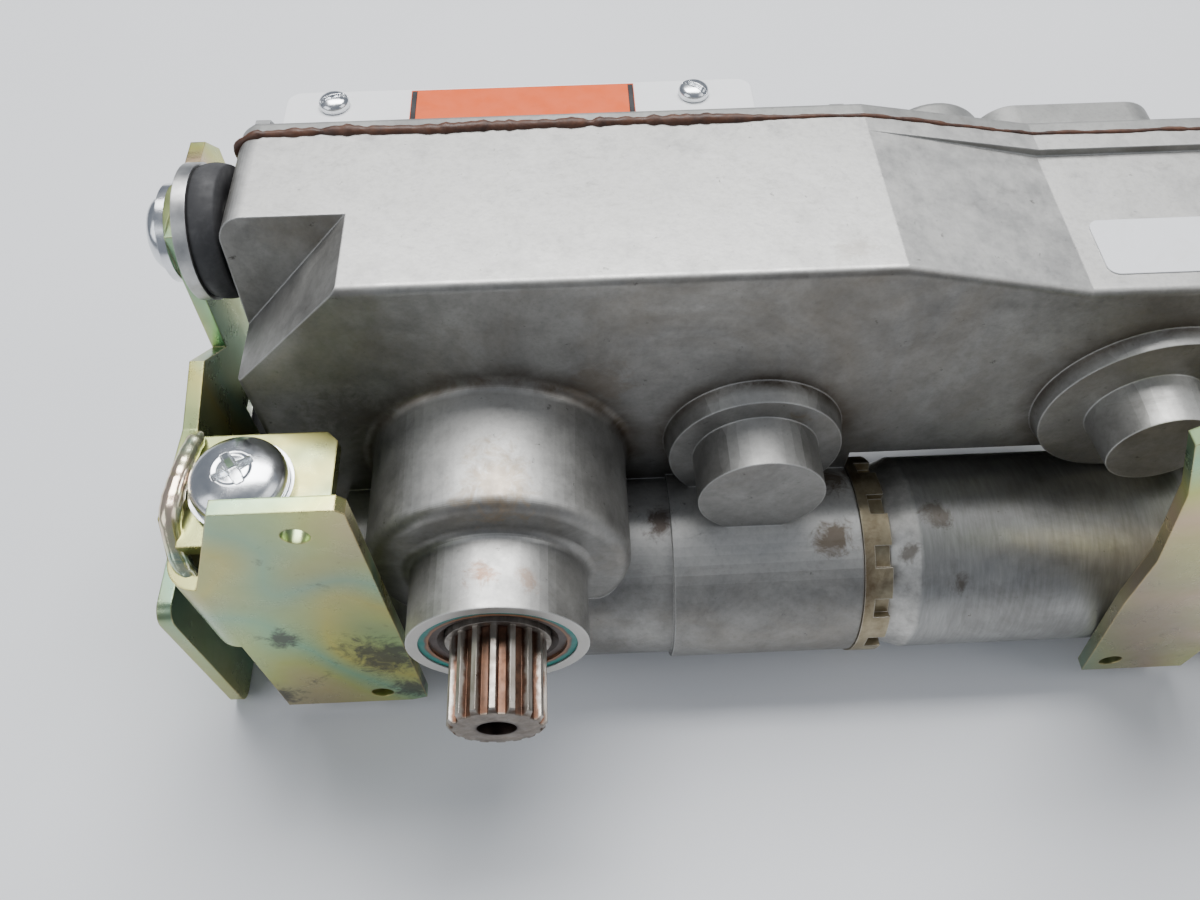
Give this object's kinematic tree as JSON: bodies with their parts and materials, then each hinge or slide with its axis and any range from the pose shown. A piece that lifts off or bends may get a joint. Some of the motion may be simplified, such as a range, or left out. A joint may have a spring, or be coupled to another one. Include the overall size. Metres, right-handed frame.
{
  "type": "motorised actuator head",
  "caption": "Electro-mechanical swing-door drive head: cast gear case, splined output spindle, sprung rack barrel, belt-driven gear train and rubber-mounted end brackets.",
  "frame": {"origin": "centre of the spindle's end face, at the mouth of its tapped hole", "axes": "+X along the unit towards the spring tube's end, +Y along the spindle into the gear case, +Z away from the bench it lies on"},
  "size_m": [0.3411, 0.1688, 0.1434],
  "materials": {
    "cast": "bead-blasted die casting, satin",
    "gasket": "dark brown sealing compound, matt",
    "steel": "machined steel, light oil",
    "spline": "machined steel with rust between the teeth",
    "bearing": "ground bearing steel",
    "teal": "teal nitrile seal, matt",
    "tube": "turned steel tube, satin",
    "ring": "steel with yellowed, slightly rusty plating",
    "zinc": "yellow chromate zinc, iridescent",
    "bolt": "bright zinc",
    "rubber": "black rubber",
    "white": "matt white paint",
    "orange": "orange vinyl label with black end bars, blank",
    "label": "white vinyl label, blank",
    "pulley": "turned aluminium",
    "belt": "black neoprene",
    "motor": "black paint",
    "magnet": "ferrite",
    "copper": "copper windings and laminations",
    "brassy": "sintered bronze",
    "board": "green circuit board",
    "chips": "black plastic components"
  },
  "bodies": {
    "frame": {"housing": "cast", "gasket": "gasket", "cover": "cast", "cover_screws": "steel", "seal_case": "steel", "seal_lip": "teal", "front_bearing_outer_ring": "bearing", "rear_bearing_outer_ring": "bearing", "layshaft_bearing_outer_ring": "bearing", "spring_seat": "steel", "compression_spring": "steel", "spring_tube": "tube", "castellated_lock_ring": "ring", "spring_tube_cap": "tube", "spring_adjuster": "steel", "toothed_belt": "belt", "idler_bolt": "steel", "motor_can": "motor", "motor_front_plate": "steel", "motor_end_bell": "motor", "motor_magnets": "magnet", "motor_shaft_bush": "brassy", "electrics_tray": "white", "electrics_lid": "white", "electrics_screws": "bolt", "control_board": "board", "board_components": "chips", "orange_label": "orange", "white_label": "label", "left_bracket": "zinc", "right_bracket": "zinc", "front_mount_rubbers": "rubber", "back_mount_rubbers": "rubber", "mount_inner_washers": "steel", "mount_outer_washers": "bolt", "front_mount_bolts": "bolt", "back_mount_bolts": "bolt", "left_back_plate": "zinc", "right_back_plate": "zinc", "spacer_bars": "zinc", "tab_washer": "bolt", "tab_screw": "bolt", "tab_nut": "steel"},
    "output_spindle": {"spindle": "spline", "sector_gear": "steel", "sector_key": "steel", "front_bearing_inner_ring": "bearing", "rear_bearing_inner_ring": "bearing", "front_bearing_balls": "bearing", "rear_bearing_balls": "bearing"},
    "rack": {"rack_piston": "steel", "spring_plate": "steel"},
    "countershaft": {"layshaft": "steel", "layshaft_pulley": "pulley", "layshaft_bearing_inner_ring": "bearing", "layshaft_bearing_balls": "bearing"},
    "motor_rotor": {"motor_armature": "copper", "motor_pulley": "pulley"},
    "idler": {"idler_pulley": "pulley"}
  },
  "joints": [
    {"name": "spindle_spin", "type": "hinge", "parent": "frame", "child": "output_spindle", "pos_m": [0, 0, 0], "axis": [0, -1, 0], "range_deg": [0, 110]},
    {"name": "rack_slide", "type": "slide", "parent": "frame", "child": "rack", "axis": [1, 0, 0], "range_m": [0, 0.0347], "deforming": ["compression_spring"]},
    {"name": "countershaft_spin", "type": "hinge", "parent": "frame", "child": "countershaft", "pos_m": [0.0736, 0.08, 0.00768], "axis": [0, -1, 0], "range_deg": [-298, 0]},
    {"name": "motor_spin", "type": "hinge", "parent": "frame", "child": "motor_rotor", "pos_m": [0.1815, 0.08, 0.0199], "axis": [0, -1, 0], "range_deg": [-932, 0]},
    {"name": "idler_spin", "type": "hinge", "parent": "frame", "child": "idler", "pos_m": [0.12971, 0.11, 0.04747], "axis": [0, -1, 0], "range_deg": [0, 667]}
  ],
  "couplings": [
    {"joint": "rack_slide", "follows": "spindle_spin", "m_per_rad": 0.018},
    {"joint": "countershaft_spin", "follows": "spindle_spin", "ratio": -2.7},
    {"joint": "motor_spin", "follows": "spindle_spin", "ratio": -8.43},
    {"joint": "idler_spin", "follows": "spindle_spin", "ratio": 6.0214}
  ]
}
